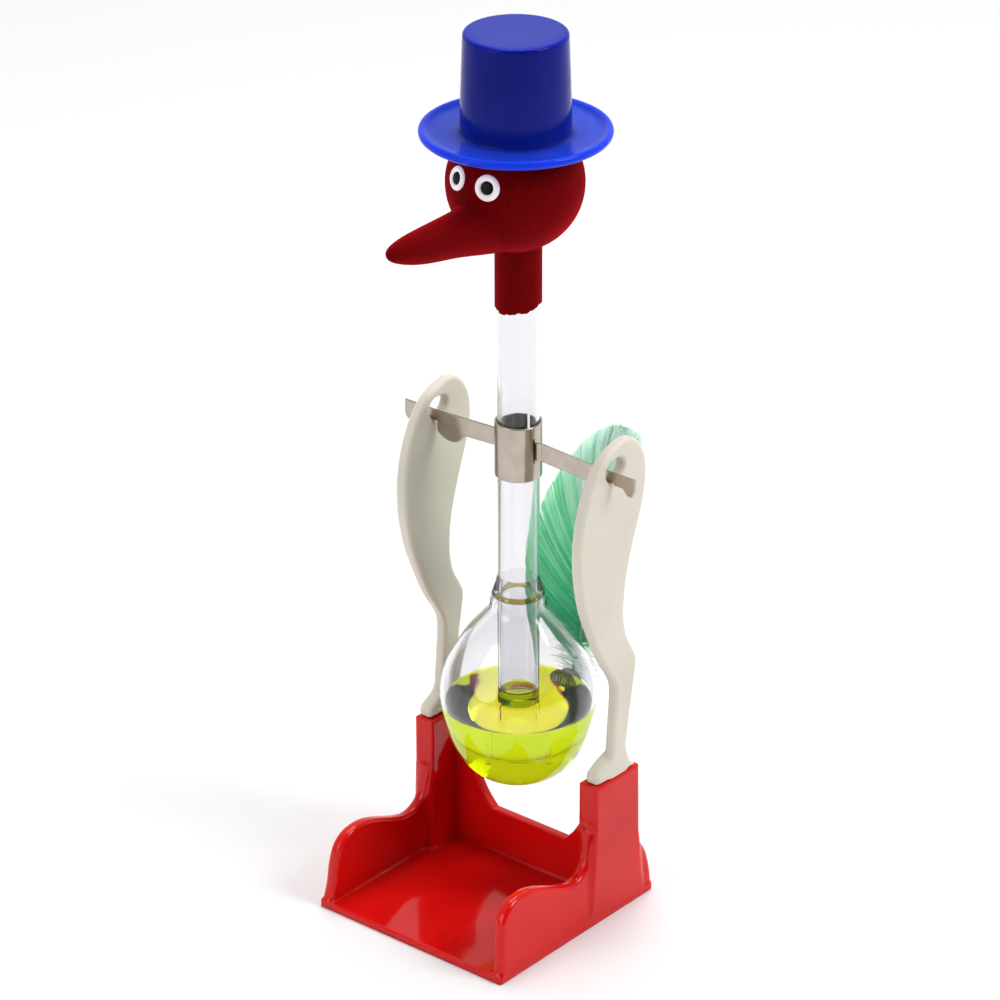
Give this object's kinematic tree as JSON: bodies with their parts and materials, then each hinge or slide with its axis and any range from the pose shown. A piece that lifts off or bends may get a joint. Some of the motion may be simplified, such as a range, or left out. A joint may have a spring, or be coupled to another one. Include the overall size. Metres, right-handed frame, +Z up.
{
  "type": "drinking bird",
  "caption": "Drinking bird desk toy: a liquid-filled glass bird with a flocked head, top hat and tail feather rocks on a metal strip held between two legs on an open tray base.",
  "frame": {"origin": "centre of the base tray's underside, on the surface it stands on", "axes": "+Z up; the bird faces -Y; +X is the bird's left, where its left leg stands; the pivot axis runs along X"},
  "size_m": [0.057, 0.067, 0.18],
  "materials": {
    "red_plastic": "gloss, moulded",
    "cream_plastic": "satin, slightly translucent moulding",
    "nickel_sheet": "nickel plated, lightly brushed",
    "glass": "clear blown glass",
    "liquid": "clear coloured liquid",
    "beak_foam": "matte",
    "red_flock": "short dense flock",
    "eye_white": "satin",
    "eye_black": "gloss",
    "blue_plastic": "gloss, moulded",
    "clear_glue": "clear hardened glue",
    "feather_quill": "keratin, satin",
    "feather_green": "dyed feather barbs"
  },
  "bodies": {
    "stand": {"base_tray": "red_plastic", "left_leg": "cream_plastic", "right_leg": "cream_plastic"},
    "pivot": {"pivot_strip": "nickel_sheet"},
    "bird": {"neck_tube": "glass", "body_bulb": "glass", "head_bulb": "glass", "liquid": "liquid", "beak_core": "beak_foam", "head_flock": "red_flock", "left_eye_white": "eye_white", "left_eye_pupil": "eye_black", "right_eye_white": "eye_white", "right_eye_pupil": "eye_black", "hat": "blue_plastic", "hat_glue": "clear_glue", "feather_quill": "feather_quill", "feather_vane": "feather_green", "feather_glue": "clear_glue"}
  },
  "joints": [
    {"name": "tilt", "type": "hinge", "parent": "stand", "child": "pivot", "pos_m": [0, 0.0099, 0.09613], "axis": [1, 0, 0], "range_deg": [-25, 90]},
    {"name": "height_adjust", "type": "slide", "parent": "pivot", "child": "bird", "axis": [0, 0, 1], "range_m": [-0.004, 0.004]}
  ]
}
